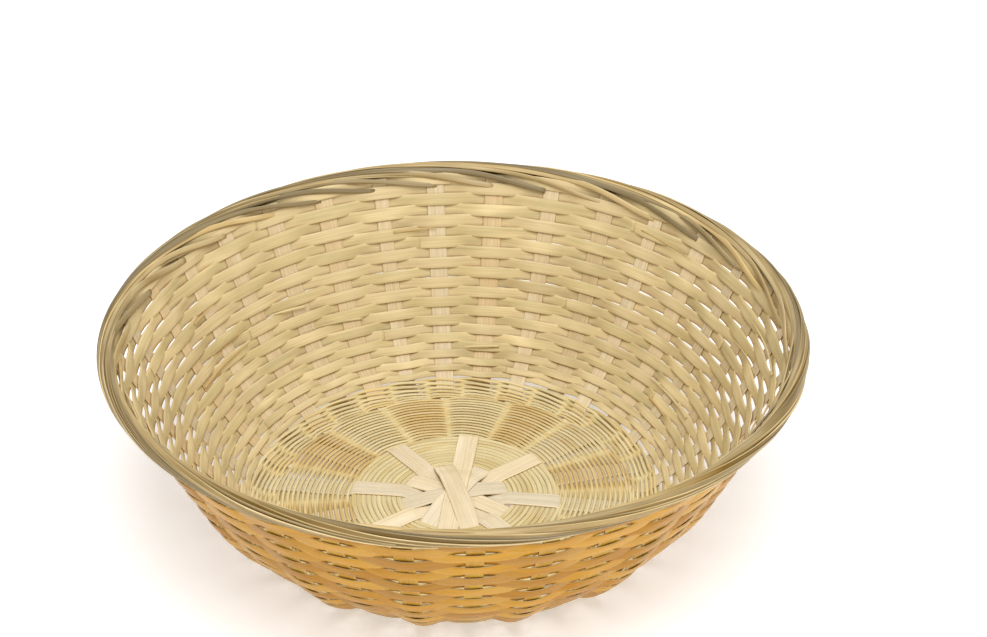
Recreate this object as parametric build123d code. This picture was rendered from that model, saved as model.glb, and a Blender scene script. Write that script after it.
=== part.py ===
from build123d import *
import os
from math import ceil, cos, degrees, pi, radians, sin

# A round woven bamboo bowl basket, piece by piece, in the order in which it is woven.
# Sizes are in millimetres. The basket stands on z = 0 and its middle is the Z axis.
#
# All the pieces follow one mid-surface, a radial profile turned round Z. A place on it is given by
# run, the length along the profile from the centre, and by turn, the angle round Z in radians.
# Lift is the distance out of it: downwards under the base and outwards on the wall.

# Driving dimensions
RIM_DIAMETER = 304.8
HEIGHT = 94.0
STAKES = 32
STRIP_THICKNESS = 0.6
STRIP_WIDTH = 9.0
CLEARANCE = 0.05

# Profile of the mid-surface: the flat base, then spans of a length and a turn in degrees
BASE_LEVEL = 1.8
DIVE = (14.0, -5.8)
HEEL = (7.0, 43.8)
LOWER_WALL = (4.0, 0.0)
BELLY = (48.0, 25.0)

# Border
BORDER_RADIUS = 4.0
BORDER_STRAND_THICKNESS = 1.1
CORE_RADIUS = 2.6
BORDER_WRAP = radians(90)
BORDER_POINTS = 24
WALL_INSIDE_RING = 1.6
SEAM = radians(217)
SEAM_HALF_WIDTH = radians(13)
STRAND_HALF_WIDTH = radians(20)
STAKE_TOP_GAP = 1.9

# Star of eight splints, in the order in which they are laid, lowest first: the direction in
# degrees, and the level that each has where only neighbours still cross
SPLINTS = ((0, 0), (45, 0), (135, 0), (157.5, 1), (22.5, 1), (67.5, 1), (90, 2), (112.5, 3))
LONG_ARM_STEP = 45
LAYER_PITCH = 0.62
LOWEST_LAYER = 1.3
LEVEL_PITCH = 0.65
LOWEST_LEVEL = 2.1
CROSSING_RUN = 11.9
PARTED_RUN = 23.1
BASE_STEP = 1.9
WALL_STEP = 4.8

# Weave of the base
BAND_START = 27.0
BAND_END = 45.5
BAND_STRAND = (2.1, 0.5)
BAND_PITCH = 2.3
ARM_DIP_END = 49.5
TWINE_STRAND = (1.05, 0.8)
TWINE_PITCH = 2.25
TWINE_SIDEWAYS = 0.585
BASE_TWINE_START = 50.7
BASE_TWINE_ROUNDS = 13
SIDE_STAKE_START = 82.2
HEEL_TWINE_START = 83.6
HEEL_TWINE_ROUNDS = 3
TWINE_WAVE_POWER = 4
POINTS_PER_STITCH = 6
POINTS_PER_FACE = 12

# Weave of the wall
WALL_ROWS = 21
STRIP_FILL = 0.93
FIRST_ROW_RUN = 96.0
LAST_ROW_GAP = 4.1
ROW_SPREAD = 1.17
WALL_WAVE_POWER = 3
WALL_LIFT = STRIP_THICKNESS + 0.1
JOIN_GAP = 0.006
JOIN_SHIFT = 7

# Worked out from the dimensions above
BORDER_RING = RIM_DIAMETER / 2 - BORDER_RADIUS
BORDER_LEVEL = HEIGHT - BORDER_RADIUS
STAKE_TURN = 2 * pi / STAKES
ARM_TURN = 2 * STAKE_TURN
TWINE_LIFT = STRIP_THICKNESS / 2 + TWINE_STRAND[1] / 2 + 2 * CLEARANCE
BAND_LIFT = STRIP_THICKNESS / 2 + BAND_STRAND[1] / 2 + CLEARANCE


def span_end(radius, level, slope, length, turn):
    """Radius, level and slope (radians) at the end of a straight or round span."""
    if turn == 0:
        return radius + length * cos(slope), level + length * sin(slope), slope
    end = slope + radians(turn)
    bend = length / radians(turn)
    return radius + bend * (sin(end) - sin(slope)), level + bend * (cos(slope) - cos(end)), end


def profile_spans():
    """Spans of the profile, as start run, radius, level, slope, length and turn.

    The upper wall is as long as the height needs, and the flat base as wide as the rim needs.
    """
    bends = (DIVE, HEEL, LOWER_WALL, BELLY)
    radius, level, slope = 0.0, BASE_LEVEL, 0.0
    for length, turn in bends:
        radius, level, slope = span_end(radius, level, slope, length, turn)
    upper = ((BORDER_LEVEL - level) / sin(slope), 0.0)
    flat = (BORDER_RING - WALL_INSIDE_RING - radius - upper[0] * cos(slope), 0.0)

    spans = []
    run, radius, level, slope = 0.0, 0.0, BASE_LEVEL, 0.0
    for length, turn in (flat, *bends, upper):
        spans.append((run, radius, level, slope, length, turn))
        run += length
        radius, level, slope = span_end(radius, level, slope, length, turn)
    return spans, run


PROFILE, PROFILE_LENGTH = profile_spans()
STAKE_END = PROFILE_LENGTH - STAKE_TOP_GAP


def profile_point(run, lift=0.0):
    """Radius and level of a place on the profile, at a distance out of it."""
    start, radius, level, slope, length, turn = [s for s in PROFILE if s[0] <= run][-1]
    share = (run - start) / length
    radius, level, slope = span_end(radius, level, slope, run - start, turn * share)
    return radius + lift * sin(slope), level - lift * cos(slope)


def surface_point(run, turn, lift):
    """Place in space of a run, a turn round Z and a lift."""
    radius, level = profile_point(run, lift)
    return radius * cos(turn), radius * sin(turn), level


def strip(corners):
    """Solid strip from the four lines that its corners follow, as a chain of short faces."""
    faces = [Face(Wire.make_polygon([line[i] for line in corners])) for i in (0, -1)]
    for start in range(0, len(corners[0]) - 1, POINTS_PER_FACE):
        lines = [line[start : start + POINTS_PER_FACE + 1] for line in corners]
        edges = [Edge.make_spline(line) for line in lines]
        faces += [Face.make_surface_from_curves(edges[i], edges[(i + 1) % 4]) for i in range(4)]
    return Solid(Shell(faces))


def woven_strip(path, section):
    """Strip of a width and a thickness along a path of (run, turn, lift) places."""
    half_width, half_thickness = section[0] / 2, section[1] / 2
    corners = []
    for i, j in ((-1, -1), (1, -1), (1, 1), (-1, 1)):
        aside, out = i * half_width, j * half_thickness
        corners.append([surface_point(run + aside, turn, lift + out) for run, turn, lift in path])
    return strip(corners)


def wave(phase, power):
    """Over-and-under wave from -1 to 1: a sine made flatter at its tops, where a stake lies."""
    height = sin(phase)
    flat = 1 - (1 - abs(height)) ** power
    return flat if height > 0 else -flat


def ease(share):
    """Smooth step from 0 to 1."""
    share = min(max(share, 0.0), 1.0)
    return (1 - cos(pi * share)) / 2


def flat_strip(middle, width):
    """Solid of a strip that bends only in the XZ plane, from (x, z) points of its middle line."""
    upper, lower = [], []
    for i, (x, z) in enumerate(middle):
        before, after = middle[max(i - 1, 0)], middle[min(i + 1, len(middle) - 1)]
        along = Vector(after[0] - before[0], 0, after[1] - before[1]).normalized()
        across = Vector(-along.Z, 0, along.X) * (STRIP_THICKNESS / 2)
        upper.append(Vector(x, 0, z) + across)
        lower.append(Vector(x, 0, z) - across)
    outline = Wire(
        [
            Edge.make_spline(upper),
            Edge.make_line(upper[-1], lower[-1]),
            Edge.make_spline(lower),
            Edge.make_line(lower[0], upper[0]),
        ]
    )
    return extrude(Face(outline), amount=width / 2, dir=(0, 1, 0), both=True)


def runs_between(start, end, step):
    """Evenly spaced runs from start up to, but without, end."""
    count = ceil((end - start) / step)
    return [start + (end - start) * i / count for i in range(count)]


def stations(layer, level, is_long):
    """Level of a splint's middle at a few runs from the centre to the base weave.

    At the centre each splint lies on the last one. Past PARTED_RUN no two of them cross, so the
    long arms rise over the inner weaver, the short arms go under it, and then all are level.
    """
    band = BASE_LEVEL + 2 * BAND_LIFT if is_long else BASE_LEVEL
    stacked = LOWEST_LAYER + layer * LAYER_PITCH
    parted = LOWEST_LEVEL + level * LEVEL_PITCH
    return (
        (0.0, stacked),
        (CROSSING_RUN, stacked),
        (PARTED_RUN - 1, parted),
        (PARTED_RUN, parted),
        (BAND_START, band),
        (BAND_END, band),
        (ARM_DIP_END, BASE_LEVEL),
    )


def arm_middle(places):
    """Middle line of one arm, (radius, level) from the centre to the rim."""
    middle = []
    for (start, low), (end, high) in zip(places, places[1:]):
        for run in runs_between(start, end, BASE_STEP):
            middle.append((run, low + (high - low) * ease((run - start) / (end - start))))
    flat_end = PROFILE[1][0]
    middle += [profile_point(run) for run in runs_between(ARM_DIP_END, flat_end, WALL_STEP)]
    middle += [profile_point(run) for run in runs_between(flat_end, FIRST_ROW_RUN, BASE_STEP)]
    middle += [profile_point(run) for run in runs_between(FIRST_ROW_RUN, STAKE_END, WALL_STEP)]
    return middle + [profile_point(STAKE_END)]


def base_splint(layer):
    """One long splint: a wall stake, an arm, the centre, an arm and a wall stake again."""
    direction, level = SPLINTS[layer]
    arm = arm_middle(stations(layer, level, direction % LONG_ARM_STEP == 0))
    middle = [(-x, z) for x, z in reversed(arm)] + arm[1:]
    return Rot(Z=direction) * flat_strip(middle, STRIP_WIDTH)


def side_stake(index):
    """One of the stakes put in between two arms at the heel, up to the rim."""
    runs = runs_between(SIDE_STAKE_START, FIRST_ROW_RUN, BASE_STEP)
    runs += runs_between(FIRST_ROW_RUN, STAKE_END, WALL_STEP) + [STAKE_END]
    stake = flat_strip([profile_point(run) for run in runs], STRIP_WIDTH)
    return Rot(Z=degrees(STAKE_TURN) * (2 * index + 1)) * stake


def base_inner_weaver():
    """Flat strand wound over the short arms and under the long ones."""
    rounds = (BAND_END - BAND_START - BAND_STRAND[0]) / BAND_PITCH
    count = ceil(rounds * STAKES / POINTS_PER_FACE) * POINTS_PER_FACE
    path = []
    for i in range(count + 1):
        turn = 2 * pi * rounds * i / count
        path.append((BAND_START + BAND_STRAND[0] / 2 + BAND_PITCH * turn / (2 * pi), turn, -BAND_LIFT))
    return woven_strip(path, BAND_STRAND)


def twine(start, rounds, stitch_turn, side):
    """One strand of a twined pair, which turn round each other once in two stitches.

    side is 1 or -1: the two strands are half a turn apart.
    """
    stitches = round(rounds * 2 * pi / stitch_turn)
    path = []
    for i in range(stitches * POINTS_PER_STITCH + 1):
        phase = pi * (i / POINTS_PER_STITCH - 0.5)
        turn = stitch_turn * i / POINTS_PER_STITCH
        run = start + TWINE_PITCH * turn / (2 * pi) - side * TWINE_SIDEWAYS * sin(phase + pi / 2)
        path.append((run, turn, side * TWINE_LIFT * wave(phase, TWINE_WAVE_POWER)))
    return woven_strip(path, TWINE_STRAND)


def heel_twine(side):
    """Strand twined round all the stakes at the heel, worn flat where it stands on the table."""
    ground = Box(2 * RIM_DIAMETER, 2 * RIM_DIAMETER, HEIGHT, align=(Align.CENTER, Align.CENTER, Align.MAX))
    return twine(HEEL_TWINE_START, HEEL_TWINE_ROUNDS, STAKE_TURN, side) - ground


def row_run(row):
    """Run of a row of the wall; the rows spread apart towards the rim."""
    last = PROFILE_LENGTH - BORDER_RADIUS - LAST_ROW_GAP
    return FIRST_ROW_RUN + (last - FIRST_ROW_RUN) * (row / (WALL_ROWS - 1)) ** ROW_SPREAD


def wall_weaver(row):
    """One flat ring of the wall, nearly as wide as its row, its two ends meeting behind a stake."""
    run = row_run(row)
    width = STRIP_FILL * (row_run(max(row, 1)) - row_run(max(row, 1) - 1))
    count = STAKES * POINTS_PER_STITCH
    path = []
    for i in range(count + 1):
        stake = JOIN_GAP / 2 + (STAKES - JOIN_GAP) * i / count
        lift = WALL_LIFT * wave(pi * (stake + 0.5), WALL_WAVE_POWER)
        path.append((run, STAKE_TURN * (JOIN_SHIFT * row + stake), lift))
    return woven_strip(path, (width, STRIP_THICKNESS))


def border_core():
    """Round bundle of tucked ends inside the border."""
    return Pos(0, 0, BORDER_LEVEL) * Torus(BORDER_RING, CORE_RADIUS)


def border_strand(index):
    """The split end of one stake, rolled once round the core over a quarter of the rim.

    It starts beside the seam where the stakes enter, and goes up inside, over the top and down.
    """
    once = 2 * pi - 2 * (SEAM_HALF_WIDTH + STRAND_HALF_WIDTH)
    sweep = BORDER_WRAP * once / (2 * pi)
    inside = BORDER_RADIUS - BORDER_STRAND_THICKNESS
    corners = ((-1, inside), (1, inside), (1, BORDER_RADIUS), (-1, BORDER_RADIUS))
    lines = []
    for side, distance in corners:
        line = []
        for i in range(BORDER_POINTS + 1):
            share = i / BORDER_POINTS
            roll = SEAM - SEAM_HALF_WIDTH - STRAND_HALF_WIDTH - once * share
            roll += side * STRAND_HALF_WIDTH
            radius = BORDER_RING + distance * cos(roll)
            turn = STAKE_TURN * index + sweep * share
            level = BORDER_LEVEL + distance * sin(roll)
            line.append((radius * cos(turn), radius * sin(turn), level))
        lines.append(line)
    return strip(lines)


def all_pieces():
    """Every sub-part by the name of its node."""
    pieces = {f"base_splint_{i + 1:02d}": base_splint(i) for i in range(len(SPLINTS))}
    pieces |= {f"side_stake_{i + 1:02d}": side_stake(i) for i in range(STAKES // 2)}
    pieces["base_inner_weaver"] = base_inner_weaver()
    for name, side in (("a", 1), ("b", -1)):
        pieces[f"base_twine_{name}"] = twine(BASE_TWINE_START, BASE_TWINE_ROUNDS, ARM_TURN, side)
        pieces[f"heel_twine_{name}"] = heel_twine(side)
    pieces |= {f"wall_weaver_{row + 1:02d}": wall_weaver(row) for row in range(WALL_ROWS)}
    pieces["border_core"] = border_core()
    pieces["border_strands"] = Compound([border_strand(i) for i in range(STAKES)])
    return pieces


os.makedirs("parts", exist_ok=True)
for node, shape in all_pieces().items():
    export_step(shape, f"parts/{node}.step")
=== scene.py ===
"""Looks of a round woven bamboo bowl basket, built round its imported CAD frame.

Sizes are in millimetres and angles in radians unless a name says otherwise; a mesh is put into
metres as it is made. The classes follow the order in which the basket is woven: the bowl's
mid-surface, the stakes with the star of splints, the base weave, the wall weave and the rolled
border. Every strip is a cross-section carried along a path on that mid-surface, worked out as
whole arrays. A run is a length along the bowl's profile from the middle of the base, a turn is an
angle round Z, and a lift is a distance out of the mid-surface.
"""

import logging
import math
from dataclasses import dataclass, field
from enum import Enum

import bpy
import numpy as np
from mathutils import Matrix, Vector


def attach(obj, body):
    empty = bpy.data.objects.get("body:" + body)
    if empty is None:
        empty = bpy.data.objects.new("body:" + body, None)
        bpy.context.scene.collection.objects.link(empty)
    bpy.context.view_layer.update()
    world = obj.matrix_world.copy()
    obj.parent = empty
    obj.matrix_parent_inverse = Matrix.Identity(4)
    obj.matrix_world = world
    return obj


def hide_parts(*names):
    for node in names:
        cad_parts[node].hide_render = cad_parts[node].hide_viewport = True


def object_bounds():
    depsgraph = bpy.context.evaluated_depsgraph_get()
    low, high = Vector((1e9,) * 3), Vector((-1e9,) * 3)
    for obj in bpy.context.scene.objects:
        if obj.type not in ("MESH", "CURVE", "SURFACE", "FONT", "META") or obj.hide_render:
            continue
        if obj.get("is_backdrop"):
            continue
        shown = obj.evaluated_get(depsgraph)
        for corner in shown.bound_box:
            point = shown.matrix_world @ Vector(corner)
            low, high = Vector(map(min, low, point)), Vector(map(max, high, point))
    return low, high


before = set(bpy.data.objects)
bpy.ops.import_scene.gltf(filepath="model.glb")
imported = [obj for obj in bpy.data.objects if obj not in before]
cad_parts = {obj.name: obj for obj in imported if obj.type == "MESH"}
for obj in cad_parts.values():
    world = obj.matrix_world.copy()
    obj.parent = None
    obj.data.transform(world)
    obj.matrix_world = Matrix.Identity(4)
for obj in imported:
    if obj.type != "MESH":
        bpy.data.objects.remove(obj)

LOG = logging.getLogger("bamboo_bowl")
MM = 0.001
BODY = "root"
WAVE_POWER = 1.7

Array = np.ndarray
Socket = bpy.types.NodeSocket
Triple = tuple[float, float, float]
Pair = tuple[float, float]
Pieces = dict[str, bpy.types.Object]


class Slot(Enum):
    """The record's material slots."""

    SPLINT = "split_bamboo"
    BASE = "base_strand"
    WALL = "wall_strip"
    BORDER = "border_strand"


class Side(Enum):
    """The two strands of a twined pair, half a turn apart."""

    FIRST = 1
    SECOND = -1


# ---- Arrays, waves and meshes ----


def ease(share: Array) -> Array:
    """Smooth step: half a cosine from 0 to 1, held at both ends."""
    return (1 - np.cos(np.pi * np.clip(share, 0, 1))) / 2


def unit(vectors: Array) -> Array:
    """Vectors of length 1 in the same directions."""
    return vectors / np.maximum(np.linalg.norm(vectors, axis=-1, keepdims=True), 1e-12)


def polar(radius: Array | float, turn: Array, level: Array | float) -> Array:
    """Points at a radius from Z, a turn round it and a level."""
    return np.stack([radius * np.cos(turn), radius * np.sin(turn), level + 0 * turn], -1)


def woven_wave(phase: Array) -> Array:
    """Over-and-under wave: a sine with flattened tops, 1 - (1 - |sin|) ** WAVE_POWER.

    Args:
        phase: Angle along the weave; a stake lies at each odd quarter turn.

    Returns:
        The wave, from -1 to 1.
    """
    height = np.sin(phase)
    return np.sign(height) * (1 - (1 - np.abs(height)) ** WAVE_POWER)


@dataclass(frozen=True)
class Wander:
    """Slow, smooth irregularity: a sum of a few sines with random phases.

    The n-th sine has n whole periods in one turn, so the value closes on itself.

    Attributes:
        seed: Sets the phases and weights.
        size: About how high the sum goes.
        lowest: Periods of the slowest sine.
        highest: Periods of the fastest sine.
    """

    seed: int
    size: float
    lowest: int = 1
    highest: int = 5

    def __call__(self, turn: Array) -> Array:
        """The irregularity at each turn."""
        rng = np.random.default_rng(self.seed)
        orders = np.arange(self.lowest, self.highest + 1)
        phases = rng.uniform(0, 2 * np.pi, orders.size)
        weights = rng.uniform(0.4, 1.0, orders.size)
        waves = np.sin(np.multiply.outer(turn, orders) + phases) * weights
        return self.size * waves.sum(-1) / math.sqrt(orders.size)


@dataclass(frozen=True)
class Section:
    """Closed cross-section of a strip, anticlockwise.

    Attributes:
        across: Places across the strip.
        out: Places out of it.
    """

    across: Array
    out: Array

    @property
    def skin(self) -> Array:
        """1 on the outer face and 0 on the edges and the inner one, for the finish."""
        return np.clip(1.6 * self.out / np.abs(self.out).max() - 0.2, 0, 1)


def strip_section(
    width: float,
    thickness: float,
    face_points: int = 6,
    crown: float = 0.0,
    ridges: int = 1,
    groove: float = 0.0,
) -> Section:
    """Section of a flat strip with round edges.

    Each face is a straight row of points lifted by a parabola, its crown. With several ridges,
    the points between them are lowered by the groove's depth. Each edge is a half circle.

    Args:
        width: Full width.
        thickness: Full thickness at the edges.
        face_points: Points on each face; with ridges, four for each ridge and one more.
        crown: Extra height in the middle of each face.
        ridges: How many fine strands the strip is scored into.
        groove: Depth of the scores.

    Returns:
        The section.
    """
    round_radius = thickness / 2
    flank = width / 2 - round_radius
    count = 4 * ridges + 1 if ridges > 1 else face_points
    x = np.linspace(1, -1, count) * flank
    lift = crown * (1 - (2 * x / width) ** 2)
    if ridges > 1:
        inner = (np.arange(count) % 4 == 0) & (np.abs(x) < width / 2 - 2 * round_radius)
        lift = lift - groove * inner
    edge = np.linspace(0, np.pi, 4)[1:-1]
    bulge, drop = round_radius * np.sin(edge), round_radius * np.cos(edge)
    across = np.concatenate([x, -flank - bulge, -x, flank + bulge])
    out = np.concatenate([round_radius + lift, drop, -round_radius - lift, -drop])
    return Section(across, out)


def round_section(width: float, thickness: float, points: int) -> Section:
    """Section of a thin strand: an ellipse, anticlockwise."""
    turn = np.arange(points) * 2 * np.pi / points
    return Section(np.cos(turn) * width / 2, np.sin(turn) * thickness / 2)


@dataclass
class Strand:
    """A section carried along a path.

    Attributes:
        centre: Path, one row of x, y, z for each place.
        across: Direction of the section's width at each place.
        section: The cross-section.
        girth: Scale of the width at each place.
        tone: Number that sets this strand's own colour.
        twist: Turn of the section round the path at each place.
        stain_and_shade: How far the skin's colour also covers the inner face, from 0 to 1, at each
            place: a stain on the stakes, painted shade on the twined pair and the border's core.
        veil: How much of the skin's colour the outer face shows, from 0 to 1, at each place; on the
            wall's rings it dips between the stakes and in slow patches, a painted highlight.
    """

    centre: Array
    across: Array
    section: Section
    girth: Array | float = 1.0
    tone: float = 0.0
    twist: Array | float = 0.0
    stain_and_shade: Array | float = 0.0
    veil: Array | float = 1.0

    def rings(self) -> Array:
        """Points of the section at each place of the path.

        The width lies along the across direction made square to the path, and the thickness
        square to both. Nothing goes below the table, so a strand is worn flat where it stands.

        Returns:
            A grid of points: places along the path by points round the section.
        """
        along = unit(np.gradient(self.centre, axis=0))
        wide = unit(self.across - (self.across * along).sum(-1, keepdims=True) * along)
        thick = np.cross(along, wide)
        twist = np.broadcast_to(self.twist, len(along))[:, None]
        wide, thick = (
            wide * np.cos(twist) + thick * np.sin(twist),
            thick * np.cos(twist) - wide * np.sin(twist),
        )
        girth = np.broadcast_to(self.girth, len(along))[:, None, None]
        flat = wide[:, None] * self.section.across[None, :, None] * girth
        deep = thick[:, None] * self.section.out[None, :, None]
        return np.maximum(self.centre[:, None] + flat + deep, [-np.inf, -np.inf, 0.0])

    def lengths(self) -> Array:
        """Length along the path at each place."""
        steps = np.linalg.norm(np.diff(self.centre, axis=0), axis=1)
        return np.concatenate([[0.0], np.cumsum(steps)])

    def skins(self) -> Array:
        """How much skin each point of the rings shows: the outer face's share, or stain and painted
        shade.
        """
        stain_and_shade = np.broadcast_to(self.stain_and_shade, len(self.centre))[:, None]
        veil = np.broadcast_to(self.veil, len(self.centre))[:, None]
        return np.maximum(self.section.skin * veil, stain_and_shade).ravel()


@dataclass
class StrandMesh:
    """One Blender object made of strands.

    Attributes:
        name: The object's name.
        strands: What it is made of.
    """

    name: str
    strands: list[Strand] = field(default_factory=list)

    def build(self) -> bpy.types.Object:
        """Mesh of all the strands, with their lengths and widths as a UV map in metres.

        Each strand gives a grid of quads, closed round the section, and a cap at each end. The
        attributes skin and tone carry the face and the strand's own number to the finish.

        Returns:
            The object, linked into the scene.
        """
        parts = []
        base = 0
        for strand in self.strands:
            rings = strand.rings()
            rows, columns = rings.shape[:2]
            i, j = np.meshgrid(np.arange(rows - 1), np.arange(columns), indexing="ij")
            after = (j + 1) % columns
            quads = np.stack([i, i, i + 1, i + 1], -1) * columns
            quads = (quads + np.stack([j, after, after, j], -1)).reshape(-1, 4)[:, ::-1]
            first = np.arange(columns)
            last = (rows - 1) * columns + first[::-1]
            across, out = strand.section.across, strand.section.out
            steps = np.hypot(np.diff(across, append=across[0]), np.diff(out, append=out[0]))
            v = np.concatenate([[0.0], np.cumsum(steps)])
            u = strand.lengths()
            quad_u = np.stack([u[i], u[i], u[i + 1], u[i + 1]], -1)
            quad_v = np.stack([v[j], v[j + 1], v[j + 1], v[j]], -1)
            quad_uv = np.stack([quad_u, quad_v], -1).reshape(-1, 4, 2)[:, ::-1]
            cap_uv = np.stack([out, across], -1)
            parts.append(
                (
                    rings.reshape(-1, 3),
                    np.concatenate([quads.ravel(), first, last]) + base,
                    np.concatenate([np.full(len(quads), 4), [columns, columns]]),
                    np.concatenate([quad_uv.reshape(-1, 2), cap_uv, cap_uv[::-1] + [u[-1], 0]]),
                    strand.skins(),
                    np.full(rows * columns, strand.tone),
                )
            )
            base += rows * columns
        return self._object([np.concatenate(part) for part in zip(*parts)])

    def _object(self, arrays: list[Array]) -> bpy.types.Object:
        """Blender object from flat arrays.

        Args:
            arrays: Points, corners of the faces, sizes of the faces, UVs, skins and tones.

        Returns:
            The object, linked into the scene.
        """
        points, corners, sizes, uvs, skins, tones = arrays
        starts = np.concatenate([[0], np.cumsum(sizes)[:-1]])
        mesh = bpy.data.meshes.new(self.name)
        mesh.vertices.add(len(points))
        mesh.vertices.foreach_set("co", (points * MM).astype(np.float32).ravel())
        mesh.loops.add(len(corners))
        mesh.loops.foreach_set("vertex_index", corners.astype(np.int32))
        mesh.polygons.add(len(sizes))
        mesh.polygons.foreach_set("loop_start", starts.astype(np.int32))
        mesh.polygons.foreach_set("use_smooth", np.ones(len(sizes), bool))
        layer = mesh.uv_layers.new(name="strip")
        layer.data.foreach_set("uv", (uvs * MM).astype(np.float32).ravel())
        for name, values in (("skin", skins), ("tone", tones)):
            attribute = mesh.attributes.new(name, "FLOAT", "POINT")
            attribute.data.foreach_set("value", values.astype(np.float32))
        mesh.update(calc_edges=True)
        mesh.validate()
        piece = bpy.data.objects.new(self.name, mesh)
        bpy.context.scene.collection.objects.link(piece)
        return piece


# ---- Finishes ----


# Noise cells in a metre of a strip's length, in a metre of its width, and octaves.
DRIFT = (28.0, 90.0, 2.0)
STREAKS = (22.0, 1600.0, 3.0)
FIBRES = (90.0, 5200.0, 2.0)


@dataclass(frozen=True)
class ShaderGraph:
    """The nodes of one material, with short ways to add the usual ones.

    Attributes:
        nodes: The material's nodes.
        links: The material's links.
    """

    nodes: bpy.types.Nodes
    links: bpy.types.NodeLinks

    def attribute(self, name: str) -> Socket:
        """Value of the mesh attribute of that name."""
        node = self.nodes.new("ShaderNodeAttribute")
        node.attribute_name = name
        return node.outputs["Fac"]

    def math(self, operation: str, *values: Socket | float) -> Socket:
        """Result of a math node.

        Args:
            operation: What it does, such as MULTIPLY.
            values: Sockets or plain numbers, in the order of its inputs.

        Returns:
            The result.
        """
        node = self.nodes.new("ShaderNodeMath")
        node.operation = operation
        for entry, value in zip(node.inputs, values):
            if isinstance(value, Socket):
                self.links.new(value, entry)
            else:
                entry.default_value = value
        return node.outputs["Value"]

    def carried(self, value: Socket, start: Pair, end: Pair) -> Socket:
        """Value carried from one range to another and held at its ends.

        Args:
            value: The value.
            start: Low and high end of its range.
            end: What they become.

        Returns:
            The new value.
        """
        node = self.nodes.new("ShaderNodeMapRange")
        for name, number in zip(("From Min", "From Max", "To Min", "To Max"), (*start, *end)):
            node.inputs[name].default_value = number
        self.links.new(value, node.inputs["Value"])
        return node.outputs["Result"]

    def ramp(self, factor: Socket, colours: tuple[Triple, Triple], span: Pair) -> Socket:
        """Colour that goes from the first to the second as the factor crosses a span.

        Args:
            factor: The factor.
            colours: The two colours.
            span: Factors at which the colour is the first and the second.

        Returns:
            The colour.
        """
        node = self.nodes.new("ShaderNodeValToRGB")
        for element, colour, position in zip(node.color_ramp.elements, colours, span):
            element.position = position
            element.color = (*colour, 1)
        self.links.new(factor, node.inputs["Fac"])
        return node.outputs["Color"]

    def place(self) -> tuple[Socket, Socket]:
        """Length along the strip and width round it, in metres."""
        strip = self.nodes.new("ShaderNodeUVMap")
        strip.uv_map = "strip"
        parts = self.nodes.new("ShaderNodeSeparateXYZ")
        self.links.new(strip.outputs["UV"], parts.inputs["Vector"])
        return parts.outputs["X"], parts.outputs["Y"]

    def noise(self, place: tuple[Socket, Socket], tone: Socket, grain: Triple) -> Socket:
        """Noise stretched along the strip, different for each strand.

        Args:
            place: Length and width along the strip.
            tone: The strand's own number.
            grain: Cells in a metre along and across, and octaves.

        Returns:
            The noise's value.
        """
        vector = self.nodes.new("ShaderNodeCombineXYZ")
        for axis, value, scale in zip("XYZ", (*place, tone), (*grain[:2], 57.0)):
            self.links.new(self.math("MULTIPLY", value, scale), vector.inputs[axis])
        noise = self.nodes.new("ShaderNodeTexNoise")
        noise.inputs["Scale"].default_value = 1.0
        noise.inputs["Detail"].default_value = grain[2]
        self.links.new(vector.outputs["Vector"], noise.inputs["Vector"])
        return noise.outputs["Fac"]


@dataclass(frozen=True)
class BambooFinish:
    """Split bamboo: pale flesh on one face and golden skin on the other.

    Attributes:
        name: Material name.
        flesh: Colour of the inner face, and the one that it drifts to in places.
        skin: Colour of the outer face, and the one that it drifts to in places.
        roughness: Roughness of the inner face.
        skin_roughness: Roughness of the outer face.
        fibre: How dark the fine lengthwise fibres are, from 0 to 1.
        spread: Brightness of the darkest and the palest strand.
        gloss: Specular level of the shader.
    """

    name: str
    flesh: tuple[Triple, Triple]
    skin: tuple[Triple, Triple]
    roughness: float = 0.5
    skin_roughness: float = 0.3
    fibre: float = 0.25
    spread: Pair = (0.88, 1.08)
    gloss: float = 0.3

    def material(self) -> bpy.types.Material:
        """Shader: two drifting colours mixed by the skin attribute, darkened along the fibres."""
        material = bpy.data.materials.new(self.name)
        material.use_nodes = True
        graph = ShaderGraph(material.node_tree.nodes, material.node_tree.links)
        nodes, links = graph.nodes, graph.links
        shader = nodes["Principled BSDF"]
        place, tone, skin = graph.place(), graph.attribute("tone"), graph.attribute("skin")
        grains = (DRIFT, STREAKS, FIBRES)
        drift, streaks, fibres = (graph.noise(place, tone, grain) for grain in grains)

        change = graph.math("ADD", drift, graph.carried(tone, (0.0, 1.0), (-0.16, 0.16)))
        faces = nodes.new("ShaderNodeMix")
        faces.data_type = "RGBA"
        links.new(skin, faces.inputs["Factor"])
        links.new(graph.ramp(change, self.flesh, (0.4, 0.62)), faces.inputs["A"])
        links.new(graph.ramp(change, self.skin, (0.4, 0.62)), faces.inputs["B"])

        shade = graph.carried(streaks, (0.3, 0.7), (1 - self.fibre, 1.06))
        fine = graph.carried(fibres, (0.3, 0.7), (1 - self.fibre * 0.7, 1.05))
        own = graph.carried(tone, (0.0, 1.0), self.spread)
        coloured = nodes.new("ShaderNodeHueSaturation")
        links.new(faces.outputs["Result"], coloured.inputs["Color"])
        value = graph.math("MULTIPLY", graph.math("MULTIPLY", shade, fine), own)
        links.new(value, coloured.inputs["Value"])
        links.new(coloured.outputs["Color"], shader.inputs["Base Color"])

        rough = graph.carried(skin, (0.0, 1.0), (self.roughness, self.skin_roughness))
        links.new(rough, shader.inputs["Roughness"])
        bump = nodes.new("ShaderNodeBump")
        bump.inputs["Strength"].default_value = 0.35
        bump.inputs["Distance"].default_value = 0.00012
        links.new(streaks, bump.inputs["Height"])
        links.new(bump.outputs["Normal"], shader.inputs["Normal"])
        shader.inputs["Specular IOR Level"].default_value = self.gloss
        return material


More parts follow.
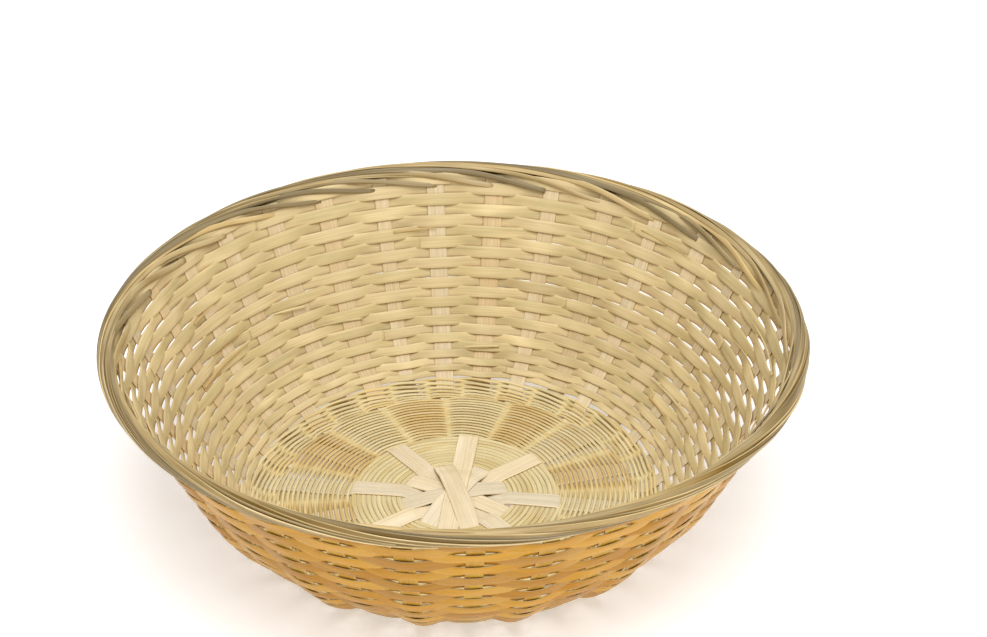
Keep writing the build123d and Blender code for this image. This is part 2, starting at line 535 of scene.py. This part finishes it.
FINISHES: dict[Slot, BambooFinish] = {
    Slot.SPLINT: BambooFinish(
        "split_bamboo",
        flesh=((0.84, 0.735, 0.545), (0.78, 0.655, 0.45)),
        skin=((0.52, 0.32, 0.05), (0.46, 0.26, 0.04)),
        fibre=0.14,
    ),
    Slot.BASE: BambooFinish(
        "base_strand",
        flesh=((0.84, 0.72, 0.43), (0.76, 0.60, 0.30)),
        skin=((0.66, 0.42, 0.14), (0.56, 0.34, 0.09)),
        fibre=0.22,
    ),
    Slot.WALL: BambooFinish(
        "wall_strip",
        flesh=((0.775, 0.63, 0.37), (0.615, 0.505, 0.28)),
        skin=((0.43, 0.195, 0.008), (0.51, 0.265, 0.025)),
        skin_roughness=0.24,
        fibre=0.11,
        gloss=0.22,
    ),
    Slot.BORDER: BambooFinish(
        "border_strand",
        flesh=((0.77, 0.62, 0.36), (0.62, 0.475, 0.24)),
        skin=((0.25, 0.155, 0.037), (0.15, 0.088, 0.016)),
        fibre=0.1,
        spread=(0.4, 1.25),
        gloss=0.45,
    ),
}


# ---- The bowl and its stakes ----


@dataclass
class Bowl:
    """Mid-surface of the basket: a radial profile turned round Z.

    The slope along the profile is a chain of straight lines through a few knots, so the profile
    is straight runs joined by arcs. Its radius and level are the running sums of the slope's
    cosine and sine.

    Attributes:
        rim_radius: Outer radius of the border.
        height: Top of the border.
        border_radius: Radius of the border's round section.
        base_level: Level of the flat base's middle.
        wall_inside_ring: How far inside the border's middle line the wall's line comes up.
        bends: Length and turn in degrees of each span between the base and the upper wall.
        samples: Places at which the profile is tabulated.
    """

    rim_radius: float
    height: float
    border_radius: float = 4.0
    base_level: float = 1.8
    wall_inside_ring: float = 1.6
    bends: tuple[Pair, ...] = ((14.0, -5.8), (7.0, 43.8), (4.0, 0.0), (48.0, 25.0))
    samples: int = 6001

    def __post_init__(self) -> None:
        """Works out the lengths of the flat base and the upper wall, and tabulates the profile."""
        lengths = [length for length, _ in self.bends]
        turns = np.radians([turn for _, turn in self.bends])
        radius, level, slope = self._sums(np.cumsum([0.0, *lengths]), np.cumsum([0.0, *turns]))
        rise = self.height - self.border_radius - self.base_level - level[-1]
        upper = rise / math.sin(slope[-1])
        reach = radius[-1] + upper * math.cos(slope[-1])
        flat = self.rim_radius - self.border_radius - self.wall_inside_ring - reach
        knots = np.cumsum([0.0, flat, *lengths, upper])
        self.length = knots[-1]
        slopes = np.cumsum([0.0, 0.0, *turns, 0.0])
        radius, level, slope = self._sums(knots, slopes)
        self._profile = radius, level + self.base_level, slope
        self._run = np.linspace(0, self.length, self.samples)

    def _sums(self, knots: Array, slopes: Array) -> tuple[Array, Array, Array]:
        """Profile at even runs, from the slope at a few knots.

        Args:
            knots: Runs of the knots.
            slopes: Slope at each knot.

        Returns:
            Radius, level and slope.
        """
        run = np.linspace(knots[0], knots[-1], self.samples)
        slope = np.interp(run, knots, slopes)
        middle = (slope[1:] + slope[:-1]) / 2
        step = run[1] - run[0]
        radius = np.concatenate([[0.0], np.cumsum(np.cos(middle) * step)])
        level = np.concatenate([[0.0], np.cumsum(np.sin(middle) * step)])
        return radius, level, slope

    def place(self, run: Array, turn: Array, lift: Array) -> Array:
        """Points at a run along the profile, a turn round Z and a lift out of the surface."""
        radius, level, slope = (np.interp(run, self._run, known) for known in self._profile)
        return polar(radius + lift * np.sin(slope), turn, level - lift * np.cos(slope))

    def upward(self, run: Array, turn: Array) -> Array:
        """Direction along the profile, towards the rim, at a run and a turn."""
        slope = np.interp(run, self._run, self._profile[2])
        return polar(np.cos(slope), turn, np.sin(slope))


@dataclass
class Stakes:
    """The upright strips: sixteen arms of the star and sixteen put in between them.

    Attributes:
        bowl: The basket's mid-surface.
        count: Stakes round the wall.
        width: Usual width.
        thickness: Thickness.
        seed: Sets the small irregularities.
        splint_order: Direction in degrees and level, from the lowest splint of the star up.
        long_arm_step: Degrees between the splints that lie over the inner strand.
        layer_pitch: From one splint to the next where they all cross.
        lowest_layer: Height of the lowest splint there.
        level_pitch: From one level to the next where only neighbours cross.
        lowest_level: Height of the lowest level.
        crossing_run: Run at which the splints stop crossing.
        parted_run: Run from which the arms lie on their levels.
        band_start: Run at which the inner strand begins.
        band_end: Run up to which the arms lie over or under it.
        dip_end: Run from which the arms are level with the base.
        band_lift: Lift of the inner strand, and half an arm's way from one side to the other.
        arm_width: Width of an arm on the base.
        end_gap: From a stake's end to the end of the profile.
        side_start: Run at which the side stakes begin.
        rib_start: Run from which the wall stands out in ribs.
        rib_fade: Run over which the ribs fade to about a third.
    """

    bowl: Bowl
    count: int = 32
    width: float = 8.6
    thickness: float = 0.8
    seed: int = 7
    splint_order: tuple[tuple[float, int], ...] = (
        *((0, 0), (45, 0), (135, 0), (157.5, 1)),
        *((22.5, 1), (67.5, 1), (90, 2), (112.5, 3)),
    )
    long_arm_step: float = 45.0
    layer_pitch: float = 0.62
    lowest_layer: float = 1.3
    level_pitch: float = 0.6
    lowest_level: float = 2.1
    crossing_run: float = 10.5
    parted_run: float = 19.5
    band_start: float = 25.0
    band_end: float = 45.0
    dip_end: float = 49.0
    band_lift: float = 0.62
    arm_width: float = 9.6
    end_gap: float = 1.5
    side_start: float = 79.0
    rib_start: float = 96.0
    rib_fade: float = 55.0

    def __post_init__(self) -> None:
        """Draws each stake's own place, width, lean and colour."""
        rng = np.random.default_rng(self.seed)
        step = 2 * np.pi / self.count
        self.turns = np.arange(self.count) * step + rng.uniform(-0.05, 0.05, self.count) * step
        self.leans = rng.uniform(-0.05, 0.05, self.count) * step
        self.widths = self.width * rng.uniform(0.80, 1.12, self.count)
        self.tones = rng.uniform(0, 1, self.count)
        self.stains = rng.uniform(0.12, 0.42, self.count)
        self.section = strip_section(self.width, self.thickness, ridges=6, groove=0.10)

    def rib(self, place: Array, run: Array | float) -> Array:
        """Lift of the lower wall's ribs: a cosine over two stakes and one over each, fading."""
        above = run - self.rib_start
        fade = np.exp(-np.maximum(above, 0) / self.rib_fade) * ease((above + 12) / 12)
        return fade * (1.2 * np.cos(np.pi * place) + 0.6 * np.cos(2 * np.pi * place))

    def wall_stain(self, index: Array | int, run: Array) -> Array:
        """How golden a stake's inner face is: not at all on the base, more up the wall."""
        return self.stains[index] * ease((run - self.side_start) / 20)

    def turn_at(self, index: Array | int, run: Array | float) -> Array:
        """Turn of a stake at a run; it leans a little as it goes up."""
        rise = np.clip((run - self.side_start) / (self.bowl.length - self.side_start), 0, 1)
        return self.turns[index] + self.leans[index] * rise

    def turn_of(self, place: Array, run: float) -> Array:
        """Turn of a place counted in stakes: whole numbers lie on a stake.

        Args:
            place: The places, which may go round more than once.
            run: The run at which they lie.

        Returns:
            Their turns.
        """
        known = self.turn_at(np.arange(self.count), run)
        known = np.append(known, known[0] + 2 * np.pi)
        laps, rest = np.divmod(place, self.count)
        return np.interp(rest, np.arange(self.count + 1), known) + laps * 2 * np.pi

    def build(self) -> Pieces:
        """All the splints and side stakes, by CAD node."""
        pieces = {}
        for layer, (direction, level) in enumerate(self.splint_order):
            mesh = StrandMesh(f"splint_{layer + 1:02d}", [self._splint(layer, direction, level)])
            pieces[f"base_splint_{layer + 1:02d}"] = mesh.build()
        for number in range(self.count // 2):
            mesh = StrandMesh(f"stake_{number + 1:02d}", [self._side_stake(2 * number + 1)])
            pieces[f"side_stake_{number + 1:02d}"] = mesh.build()
        return pieces

    def _levels(self, layer: int, level: int, is_long: bool, run: Array) -> Array:
        """Height of an arm's middle above the base's middle level.

        The arm keeps its place in the star's pile as far as the splints cross, then a level of
        its own among its neighbours, then goes over or under the inner band, and is level with
        the rest of the base after it. Each change is eased.

        Args:
            layer: Place of its splint in the pile.
            level: Its level among its neighbours.
            is_long: Whether it lies over the inner strand.
            run: The runs.

        Returns:
            The height at each run.
        """
        band = 2 * self.band_lift if is_long else 0.0
        stacked = self.lowest_layer + layer * self.layer_pitch - self.bowl.base_level
        parted = self.lowest_level + level * self.level_pitch - self.bowl.base_level
        leave = ease((run - self.crossing_run) / (self.parted_run - self.crossing_run))
        meet = ease((run - self.parted_run) / (self.band_start - self.parted_run))
        settle = ease((run - self.band_end) / (self.dip_end - self.band_end))
        return stacked + (parted - stacked) * leave + (band - parted) * meet - band * settle

    def _splint(self, layer: int, direction: float, level: int) -> Strand:
        """One long splint, from the rim through the centre to the rim.

        Args:
            layer: Its place in the star's pile.
            direction: Direction of its first arm, in degrees.
            level: Level of its arms among their neighbours.

        Returns:
            The strand.
        """
        first = round(direction / (360 / self.count))
        reach = np.linspace(0, self.bowl.length - self.end_gap, 170)
        signed = np.concatenate([-reach[:0:-1], reach])
        run = np.abs(signed)
        index = np.where(signed < 0, first + self.count // 2, first) % self.count
        true_turn = np.radians(direction) + np.where(signed < 0, np.pi, 0.0)
        stray = (self.turn_at(index, run) - true_turn + np.pi) % (2 * np.pi) - np.pi
        turn = true_turn + stray * ease(run / 55)
        is_long = direction % self.long_arm_step == 0
        lift = self.rib(index, run) - self._levels(layer, level, is_long, run)
        across = polar(np.where(signed < 0, -1, 1), turn - np.pi / 2, 0.0)
        blend = ease((run - 60) / 35)
        girth = (self.arm_width * (1 - blend) + self.widths[index] * blend) / self.width
        return Strand(
            self.bowl.place(run, turn, lift),
            across,
            self.section,
            girth * (1 + Wander(self.seed + layer, 0.03, 1, 9)(signed / 40)),
            self.tones[first],
            stain_and_shade=self.wall_stain(index, run),
        )

    def _side_stake(self, index: int) -> Strand:
        """One stake put in beside the arms, from the heel to the rim."""
        run = np.linspace(self.side_start, self.bowl.length - self.end_gap, 120)
        turn = self.turn_at(index, run)
        girth = self.widths[index] / self.width * (0.6 + 0.4 * ease((run - self.side_start) / 9))
        return Strand(
            self.bowl.place(run, turn, self.rib(index, run)),
            polar(1.0, turn - np.pi / 2, 0.0),
            self.section,
            girth * (1 + Wander(self.seed + 40 + index, 0.025, 1, 7)(run / 30)),
            self.tones[index],
            stain_and_shade=self.wall_stain(index, run),
        )


# ---- The weave ----


@dataclass
class BaseWeave:
    """The weave of the base: a flat inner strand, then a twined pair, then twining at the heel.

    Attributes:
        stakes: The arms and stakes that it holds.
        band_first: Run of the inner strand's first round.
        band_last: Run where it ends.
        pitch: From one round to the next.
        strand_width: Width of a twined strand.
        strand_thickness: Thickness of a twined strand.
        sideways: How far a twined strand moves to each side of its line.
        lift: How far it moves out of the base each way.
        twine_first: Run of the first twined round.
        twine_rounds: Rounds of the twined pair.
        heel_first: Run of the first round at the heel.
        heel_rounds: Rounds at the heel.
        samples: Places along a strand from one stake to the next.
    """

    stakes: Stakes
    band_first: float = 24.6
    band_last: float = 47.1
    pitch: float = 2.25
    strand_width: float = 1.5
    strand_thickness: float = 0.95
    sideways: float = 0.6
    lift: float = 0.86
    twine_first: float = 46.85
    twine_rounds: float = 15.0
    heel_first: float = 80.5
    heel_rounds: float = 6.0
    samples: int = 12

    def build(self) -> Pieces:
        """The base's strands, by CAD node."""
        pieces = {"base_inner_weaver": StrandMesh("inner_weaver", [self._inner()]).build()}
        for letter, side in zip("ab", Side):
            base = self._twine(self.twine_first, self.twine_rounds, self.stakes.count // 2, side)
            heel = self._twine(self.heel_first, self.heel_rounds, self.stakes.count, side)
            pieces[f"base_twine_{letter}"] = StrandMesh(f"twine_{letter}", [base]).build()
            pieces[f"heel_twine_{letter}"] = StrandMesh(f"heel_{letter}", [heel]).build()
        return pieces

    def _inner(self) -> Strand:
        """Flat spiral that lies over the short arms and under the long ones."""
        bowl, arms = self.stakes.bowl, self.stakes.count // 2
        rounds = (self.band_last - self.band_first) / self.pitch
        turn = np.linspace(0, rounds * 2 * np.pi, int(rounds * arms * self.samples))
        run = self.band_first + self.pitch * turn / (2 * np.pi) + Wander(11, 0.12, 2, 9)(turn)
        lift = 0.06 * np.cos(arms / 2 * turn) - self.stakes.band_lift
        return Strand(
            bowl.place(run, turn, lift + Wander(12, 0.04, 5, 20)(turn)),
            bowl.upward(run, turn),
            strip_section(2.12, 0.5, face_points=4, crown=0.1),
            1 + Wander(13, 0.05, 3, 14)(turn),
            0.3,
        )

    def _twine(self, first: float, rounds: float, stitches: int, side: Side) -> Strand:
        """One strand of a pair that turns round itself once in two stitches.

        The strand's run moves sideways with the cosine of the weave's phase, and its lift with
        the flattened sine, so that the pair goes round one another like a rope that is pulled
        open at every stake.

        Args:
            first: Run of the first round.
            rounds: How many rounds there are.
            stitches: Stitches in a round.
            side: Which strand of the pair it is.

        Returns:
            The strand.
        """
        bowl, sign = self.stakes.bowl, side.value
        turn = np.linspace(0, rounds * 2 * np.pi, int(rounds * stitches * self.samples))
        phase = stitches / 2 * turn + np.pi / 2
        shared = Wander(21, 0.16, 1, 7)(turn)
        own = Wander(22 + sign, 0.05, 5, 25)(turn)
        drift = self.pitch * turn / (2 * np.pi)
        run = first + drift + shared + own + sign * self.sideways * np.cos(phase)
        # Painted shade: over the short arms, which lie lowest, the strands take the golden skin
        # colour on both faces, for the warm shade there.
        short = 1.4 * np.sin(self.stakes.count / 8 * turn) ** 2 - 0.4
        return Strand(
            bowl.place(run, turn, sign * self.lift * woven_wave(phase)),
            bowl.upward(run, turn),
            round_section(self.strand_width, self.strand_thickness, 10),
            1 + Wander(24 + sign, 0.07, 3, 31)(turn),
            0.5 + 0.2 * sign,
            stain_and_shade=0.4 * ease(short + Wander(27, 0.3, 1, 9)(turn)) * (run < self.heel_first),
        )


@dataclass
class WallWeave:
    """The plain weave of the wall: flat rings over one stake and under the next.

    Attributes:
        stakes: The stakes that it holds.
        rows: Rings from the heel to the border; one more is hidden under the border.
        first: Run of the first ring.
        last_gap: From the last ring's middle to the end of the profile.
        hidden_drop: How far the ring under the border is lowered from a row's place.
        spread: Power by which the rows spread apart towards the rim.
        fill: Width of a strip over the height of its row.
        thickness: Thickness of a strip.
        lift: How far a strip's middle stands out where it lies on a stake.
        nestle: How far a ring sits up the wall on the outside and down it on the inside.
        tilt: How far a strip's upper edge leans in where it crosses its neighbours, as shingles do.
        lap: How many stakes the two ends of a ring lie over each other.
        samples: Places along a ring from one stake to the next.
        seed: Sets the small irregularities.
    """

    stakes: Stakes
    rows: int = 21
    first: float = 96.0
    last_gap: float = 8.1
    hidden_drop: float = 0.6
    spread: float = 1.17
    fill: float = 1.15
    thickness: float = 0.6
    lift: float = 0.9
    nestle: float = 0.22
    tilt: float = 0.2
    lap: float = 1.7
    samples: int = 16
    seed: int = 100

    def build(self) -> Pieces:
        """The rings, by CAD node; the top one has the hidden one with it."""
        rings = [[self._ring(row)] for row in range(self.rows)]
        rings[-1].append(self._ring(self.rows))
        for row, slivers in Slivers(self).strands().items():
            rings[row] += slivers
        return {
            f"wall_weaver_{row + 1:02d}": StrandMesh(f"weaver_{row + 1:02d}", strands).build()
            for row, strands in enumerate(rings)
        }

    def row_run(self, row: int) -> float:
        """Run of a row's middle."""
        whole = self.stakes.bowl.length - self.last_gap - self.first
        drop = self.hidden_drop * (row == self.rows)
        return self.first + whole * (row / (self.rows - 1)) ** self.spread - drop

    def _ring(self, row: int) -> Strand:
        """One ring, its ends lapped.

        Its lift is the over-and-under wave; where the ends lap, the later end moves out by one
        thickness. The run follows the same wave a little, because rings nestle down between
        each other, and wanders as a hand-woven row does.

        Args:
            row: The ring's number, from the heel up.

        Returns:
            The strand.
        """
        bowl, count, hidden = self.stakes.bowl, self.stakes.count, row == self.rows
        rng = np.random.default_rng(self.seed + row)
        middle = self.row_run(row)
        width = self.fill * (self.row_run(max(row, 1)) - self.row_run(max(row, 1) - 1))
        along = np.linspace(0, count + self.lap, int((count + self.lap) * self.samples))
        place = 7 * row + 0.35 + along
        turn = self.stakes.turn_of(place, middle)

        phase = np.pi * (place + row + 1.5)
        wave = woven_wave(phase)
        height = 1 + Wander(self.seed + 50 + row, 0.10, 3, 17)(turn)
        lapped = ease((along - count + 0.5) / 0.5) - ease((0.5 - along) / 0.5)
        lift = self.lift * wave * height + 0.3 * lapped + self.stakes.rib(place, middle)

        shared = Wander(31, 0.5, 1, 4)(turn) * math.sin(math.pi * min(row / (self.rows - 1), 1))
        own = Wander(self.seed + 80 + row, 0.10, 2, 12)(turn)
        nestle = self.nestle * (1 + 0.4 * np.cos(turn - 1.2)) * (not hidden)
        run = middle + shared + own + nestle * wave

        girth = rng.uniform(0.97, 1.03) * (1 + Wander(self.seed + 120 + row, 0.035, 2, 15)(turn))
        girth = girth * (1 + 0.02 * np.cos(turn - 3.3)) * (1.15 if hidden else 1.0)
        tip = ease(along / 0.06) * ease((along[-1] - along) / 0.06)
        twist = Wander(self.seed + 160 + row, 0.05, 3, 20)(turn) - self.tilt * np.cos(phase) ** 2
        # Painted highlight: the outer face shows a little less skin colour, so looks paler, between
        # the stakes and in slow patches, for the gloss the wall reflects.
        veil = 0.95 + 0.05 * np.cos(2 * np.pi * place)
        return Strand(
            bowl.place(run, turn, lift),
            bowl.upward(run, turn),
            strip_section(width, self.thickness, crown=0.07),
            girth * (0.8 + 0.2 * tip),
            rng.uniform(0, 1),
            twist,
            veil=np.clip(veil + Wander(self.seed + 200 + row, 0.08, 2, 14)(turn), 0, 1),
        )


@dataclass
class Slivers:
    """Thin splits that have come away from the weavers inside the wall.

    Attributes:
        wall: The weave that they come from.
        count: How many there are.
        thickness: Thickness of a sliver.
        depth: How far inside the mid-surface a sliver starts.
        seed: Sets where they are.
    """

    wall: WallWeave
    count: int = 26
    thickness: float = 0.25
    depth: float = 1.55
    seed: int = 900

    def strands(self) -> dict[int, list[Strand]]:
        """The slivers of each row, by the row's number."""
        rng = np.random.default_rng(self.seed)
        found: dict[int, list[Strand]] = {}
        for row in rng.integers(2, self.wall.rows - 1, self.count):
            found.setdefault(int(row), []).append(self._sliver(int(row), rng))
        return found

    def _sliver(self, row: int, rng: np.random.Generator) -> Strand:
        """One sliver: it lies inside the wall, slants across its row and lifts at its tip.

        Args:
            row: Its row.
            rng: The random numbers.

        Returns:
            The strand.
        """
        stakes = self.wall.stakes
        share = np.linspace(0, 1, 18)
        start, reach = rng.uniform(0, stakes.count), rng.uniform(0.5, 1.7) * rng.choice([-1, 1])
        middle = self.wall.row_run(row)
        turn = stakes.turn_of(start + reach * share, middle)
        run = middle + rng.uniform(-1.5, 1.5) + rng.uniform(-3.0, 3.0) * share
        lift = -self.depth - 0.5 * share**2 * rng.uniform(0.2, 2.2)
        section = strip_section(rng.uniform(0.6, 1.3), self.thickness, face_points=3)
        centre, across = stakes.bowl.place(run, turn, lift), stakes.bowl.upward(run, turn)
        return Strand(centre, across, section, 1 - 0.8 * share**3, rng.uniform(0, 1), veil=0.4)


@dataclass
class Border:
    """The rolled border: the split ends of the stakes, wound round the rim like a rope.

    Attributes:
        stakes: The stakes whose ends it is made of.
        wrap_degrees: How far round the rim a strand goes from its start to its end.
        radius: Radius of the rolled section, to the outside of the strands.
        core: Radius of the bundle inside.
        thickness: Thickness of a strand.
        start_roll_degrees: Direction, in the section, from which a strand comes off the wall.
        start_distance: How far from the section's middle that is.
        roll_degrees: How far a strand rolls round the section.
        lay: Share of a strand's length in which it comes off the wall and joins the section.
        samples: Places along a strand.
        seed: Sets the small irregularities.
    """

    stakes: Stakes
    wrap_degrees: float = 96.0
    radius: float = 3.6
    core: float = 2.5
    thickness: float = 0.6
    start_roll_degrees: float = 230.0
    start_distance: float = 8.3
    roll_degrees: float = 322.0
    lay: float = 0.25
    samples: int = 76
    seed: int = 300

    def build(self) -> Pieces:
        """The strands and the core, by CAD node."""
        strands = []
        for index in range(self.stakes.count):
            rng = np.random.default_rng(self.seed + index)
            strands.append(self._strand(index, 0.0, rng.uniform(2.0, 3.0), rng))
            strands.append(self._strand(index, 1.9, rng.uniform(0.8, 1.2), rng))
        return {
            "border_strands": StrandMesh("border_strands", strands).build(),
            "border_core": StrandMesh("border_core", [self._core()]).build(),
        }

    def _around(self, turn: Array, roll: Array, distance: Array) -> tuple[Array, Array]:
        """Points in the border's section, and the direction in which the roll grows there."""
        radius = self.stakes.bowl.rim_radius - self.radius + distance * np.cos(roll)
        level = self.stakes.bowl.height - self.radius + distance * np.sin(roll)
        return polar(radius, turn, level), polar(-np.sin(roll), turn, np.cos(roll))

    def _strand(self, index: int, aside: float, width: float, rng: np.random.Generator) -> Strand:
        """One strand of a stake's end: a helix round the border's middle ring.

        The roll falls from the wall, up the inside, over the top and down the outside, while the
        turn round the basket grows. The strand comes off the wall's inner face, and there its
        width lies along the wall.

        Args:
            index: The stake.
            aside: How far the strand lies beside the stake's middle.
            width: Its width.
            rng: The stake's own random numbers.

        Returns:
            The strand.
        """
        bowl = self.stakes.bowl
        share = np.linspace(rng.uniform(0.0, 0.015), rng.uniform(0.9, 1.0), self.samples)
        off = ease(share / self.lay)
        start = self.stakes.turn_at(index, bowl.length) - 0.012
        turn = start + math.radians(self.wrap_degrees) * (share + rng.uniform(-0.012, 0.012))
        lag = aside / self.radius * np.maximum(off, 0.35)
        rolled = math.radians(self.roll_degrees) * share**1.06 - lag
        wave = Wander(int(rng.integers(1e6)), 0.07, 1, 5)(share * 2 * np.pi)
        roll = math.radians(self.start_roll_degrees) - rolled + wave
        near = self.radius - self.thickness / 2 - 0.35 + rng.uniform(-0.75, 0.2)
        distance = near + (self.start_distance - near) * (1 - off)
        distance = distance + Wander(int(rng.integers(1e6)), 0.12, 1, 7)(share * 2 * np.pi)
        centre, rolling = self._around(turn, roll, distance)
        wall = -bowl.upward(np.full(self.samples, bowl.length), turn)
        uneven = Wander(int(rng.integers(1e6)), 0.05, 1, 5)(share * 6)
        lean = math.radians(rng.uniform(15, 27))
        twist = off * (lean + Wander(int(rng.integers(1e6)), 0.08, 1, 5)(share * 6))
        veil = 0.25 + rng.uniform(0.3, 0.8) * ease((share - 0.3) / 0.3)
        return Strand(
            centre,
            unit(rolling * off[:, None] + wall * (1 - off[:, None])),
            strip_section(width, self.thickness, face_points=5, crown=0.2),
            0.9 + 0.1 * ease((1 - share) / 0.04) + uneven,
            rng.uniform(0, 1),
            twist,
            veil=veil,
        )

    def _core(self) -> Strand:
        """The bundle of tucked ends inside the strands, a ring whose two ends meet, dark as painted
        shade.
        """
        turn = np.linspace(0, 2 * np.pi, 240)
        centre, _ = self._around(turn, 0 * turn, 0 * turn)
        section = round_section(2 * self.core, 2 * self.core, 16)
        # Painted shade: the core takes the dark skin colour all round, at the lowest tone, so the
        # gaps between the strands look shaded.
        return Strand(centre, polar(1.0, turn, 0.0), section, stain_and_shade=1.0)


# ---- The studio ----


@dataclass(frozen=True)
class Studio:
    """Pale floor, soft light and the camera.

    Attributes:
        azimuth_degrees: Camera's place round the basket; 0 looks along +Y.
        elevation_degrees: Camera's height above the horizon.
        distance: From the camera to the target, in metres.
        target_height: Height of the target on the basket's axis, in metres.
        lens: Focal length on a 36 mm sensor.
        aim_right: How far to the right of the target the camera is aimed, in metres.
        aim_up: How far above the target the camera is aimed, in metres.
        surround: Strength of the white world.
        boxes: Name, place and size in metres, and power in watts, of each soft box.
    """

    azimuth_degrees: float = 8.2
    elevation_degrees: float = 34.3
    distance: float = 1.0
    target_height: float = 0.040
    lens: float = 82.4
    aim_right: float = 0.0175
    aim_up: float = 0.0475
    surround: float = 0.47
    boxes: tuple[tuple[str, Triple, float, float], ...] = (
        ("top_box", (0.12, -0.45, 1.3), 0.9, 12.3),
        ("front_box", (0.7, -1.2, 0.35), 0.5, 3.5),
    )

    def build(self) -> None:
        """Floor, lights, camera and colour management."""
        self._floor()
        self._lights()
        self._camera()
        bpy.context.scene.view_settings.view_transform = "Standard"
        bpy.context.scene.view_settings.look = "Medium High Contrast"

    @staticmethod
    def _floor() -> None:
        """A wide white sheet just under the basket."""
        bpy.ops.mesh.primitive_plane_add(size=6)
        floor = bpy.context.object
        floor.name = "floor"
        floor.location.z = -0.0003
        material = bpy.data.materials.new("white_floor")
        material.use_nodes = True
        shader = material.node_tree.nodes["Principled BSDF"]
        shader.inputs["Base Color"].default_value = (0.88, 0.88, 0.88, 1)
        shader.inputs["Roughness"].default_value = 0.9
        shader.inputs["Emission Color"].default_value = (1, 1, 1, 1)
        shader.inputs["Emission Strength"].default_value = 0.3
        floor.data.materials.append(material)
        floor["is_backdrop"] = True

    def _lights(self) -> None:
        """An even white surround and two large soft boxes aimed at the basket."""
        world = bpy.data.worlds.new("studio")
        world.use_nodes = True
        background = world.node_tree.nodes["Background"]
        background.inputs["Color"].default_value = (1, 1, 1, 1)
        background.inputs["Strength"].default_value = self.surround
        bpy.context.scene.world = world
        for name, place, size, power in self.boxes:
            data = bpy.data.lights.new(name, "AREA")
            data.size = size
            data.energy = power
            lamp = bpy.data.objects.new(name, data)
            lamp.location = place
            lamp.rotation_euler = (-Vector(place)).to_track_quat("-Z", "Y").to_euler()
            bpy.context.scene.collection.objects.link(lamp)

    def _camera(self) -> None:
        """The camera, aimed a little beside the basket so that it stands where it should."""
        around, up = math.radians(self.azimuth_degrees), math.radians(self.elevation_degrees)
        flat = math.cos(up)
        back = Vector((math.sin(around) * flat, -math.cos(around) * flat, math.sin(up)))
        right = Vector((math.cos(around), math.sin(around), 0))
        target = Vector((0, 0, self.target_height))
        aim = target + right * self.aim_right + back.cross(right) * self.aim_up
        data = bpy.data.cameras.new("camera")
        data.lens = self.lens
        camera = bpy.data.objects.new("camera", data)
        camera.location = target + back * self.distance
        camera.rotation_euler = (aim - camera.location).to_track_quat("-Z", "Y").to_euler()
        bpy.context.scene.collection.objects.link(camera)
        bpy.context.scene.camera = camera


def dress(pieces: Pieces, material: bpy.types.Material) -> None:
    """Gives pieces their finish in a material slot and their body, hides the CAD node each stands
    for, and reports them.

    Args:
        pieces: The pieces, by CAD node.
        material: Their finish.
    """
    for node, piece in pieces.items():
        piece.data.materials.append(material)
        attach(piece, BODY)
        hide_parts(node)
        LOG.info("%s stands for %s: %d faces", piece.name, node, len(piece.data.polygons))


def main() -> None:
    """Builds the basket and the studio."""
    logging.basicConfig(level=logging.INFO, format="%(name)s: %(message)s")
    low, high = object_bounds()
    stakes = Stakes(Bowl(rim_radius=(high.x - low.x) / 2 / MM, height=high.z / MM))
    parts = (stakes, BaseWeave(stakes), WallWeave(stakes), Border(stakes))
    for part, (slot, finish) in zip(parts, FINISHES.items()):
        dress(part.build(), finish.material())
    Studio().build()


if __name__ == "__main__":
    main()
